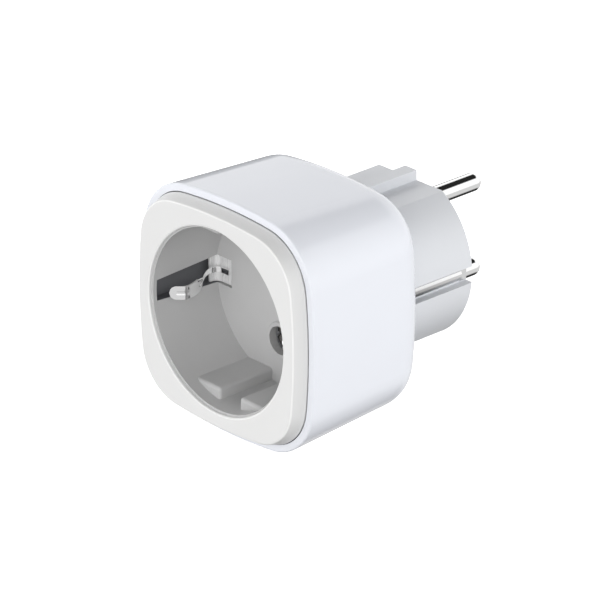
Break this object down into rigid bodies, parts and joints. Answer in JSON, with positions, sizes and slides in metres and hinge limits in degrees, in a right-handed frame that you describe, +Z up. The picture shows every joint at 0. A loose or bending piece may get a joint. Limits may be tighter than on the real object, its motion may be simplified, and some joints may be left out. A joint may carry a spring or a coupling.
{
  "type": "plug in power meter",
  "caption": "Plug-in power meter with a square-shouldered white housing, a recessed earthed socket in its front, an earthed round plug on its back and a side button.",
  "frame": {"origin": "centre of the plug's contact face, the flat end that the two pins stand out of", "axes": "+Y out of the plug's contact face along the pins, +Z up through the upper pin, +X to the right seen from the socket side"},
  "size_m": [0.0512, 0.073, 0.0512],
  "materials": {
    "shell_gloss": "glossy, cool white",
    "cover_satin": "satin white",
    "recess_grey": "fine matt light grey",
    "plug_grey": "satin pale grey",
    "button_white": "satin white",
    "light_pipe_clear": "frosted",
    "nickel": "bright nickel plate",
    "earth_steel": "bright rolled spring strip",
    "contact_brass": "plain",
    "busbar_brass": "plain",
    "shunt_alloy": "dull",
    "board_green": "solder mask",
    "chip_black": "moulded epoxy",
    "can_tin": "tinned",
    "film_yellow": "boxed film",
    "varistor_blue": "dipped epoxy",
    "cap_sleeve": "shrink sleeve",
    "ferrite": "sintered",
    "copper_wire": "enamelled",
    "resistor_body": "lacquered",
    "relay_plastic": "moulded",
    "relay_iron": "zinc plated",
    "switch_black": "moulded",
    "led_body": "cast",
    "screw_steel": "zinc plated"
  },
  "bodies": {
    "housing": {"outer_shell": "shell_gloss", "front_cover": "cover_satin", "socket_insert": "recess_grey", "plug_housing": "plug_grey", "contact_carrier": "plug_grey", "line_pin": "nickel", "neutral_pin": "nickel", "contact_line": "contact_brass", "contact_neutral": "contact_brass", "main_board": "board_green", "earth_clip_right": "earth_steel", "earth_clip_left": "earth_steel", "earth_ring": "earth_steel", "earth_strip_right": "earth_steel", "earth_strip_left": "earth_steel", "line_busbar": "busbar_brass", "neutral_busbar": "busbar_brass", "current_shunt": "shunt_alloy", "radio_board": "board_green", "radio_chip": "chip_black", "shield_can": "can_tin", "filter_capacitor": "film_yellow", "surge_varistor": "varistor_blue", "bulk_capacitors": "cap_sleeve", "power_inductor_core": "ferrite", "power_inductor_winding": "copper_wire", "fusible_resistor": "resistor_body", "metering_chip": "chip_black", "converter_chip": "chip_black", "relay_base": "relay_plastic", "relay_case": "relay_plastic", "relay_yoke": "relay_iron", "relay_coil": "copper_wire", "relay_fixed_contact": "contact_brass", "switch_body": "switch_black", "status_led": "led_body", "light_pipe": "light_pipe_clear", "housing_screws": "screw_steel"},
    "button": {"button_cap": "button_white", "switch_plunger": "switch_black"},
    "armature": {"relay_armature": "relay_iron"}
  },
  "joints": [
    {"name": "button_press", "type": "slide", "parent": "housing", "child": "button", "axis": [1, 0, 0], "range_m": [0, 0.0005], "stiffness_N_per_m": 2000, "springref_m": -0.0001},
    {"name": "relay_pull_in", "type": "hinge", "parent": "housing", "child": "armature", "pos_m": [0.0031, -0.0146, 0], "axis": [0, 0, -1], "range_deg": [0, 4], "stiffness_Nm_per_rad": 0.02, "springref_deg": -2.86}
  ]
}
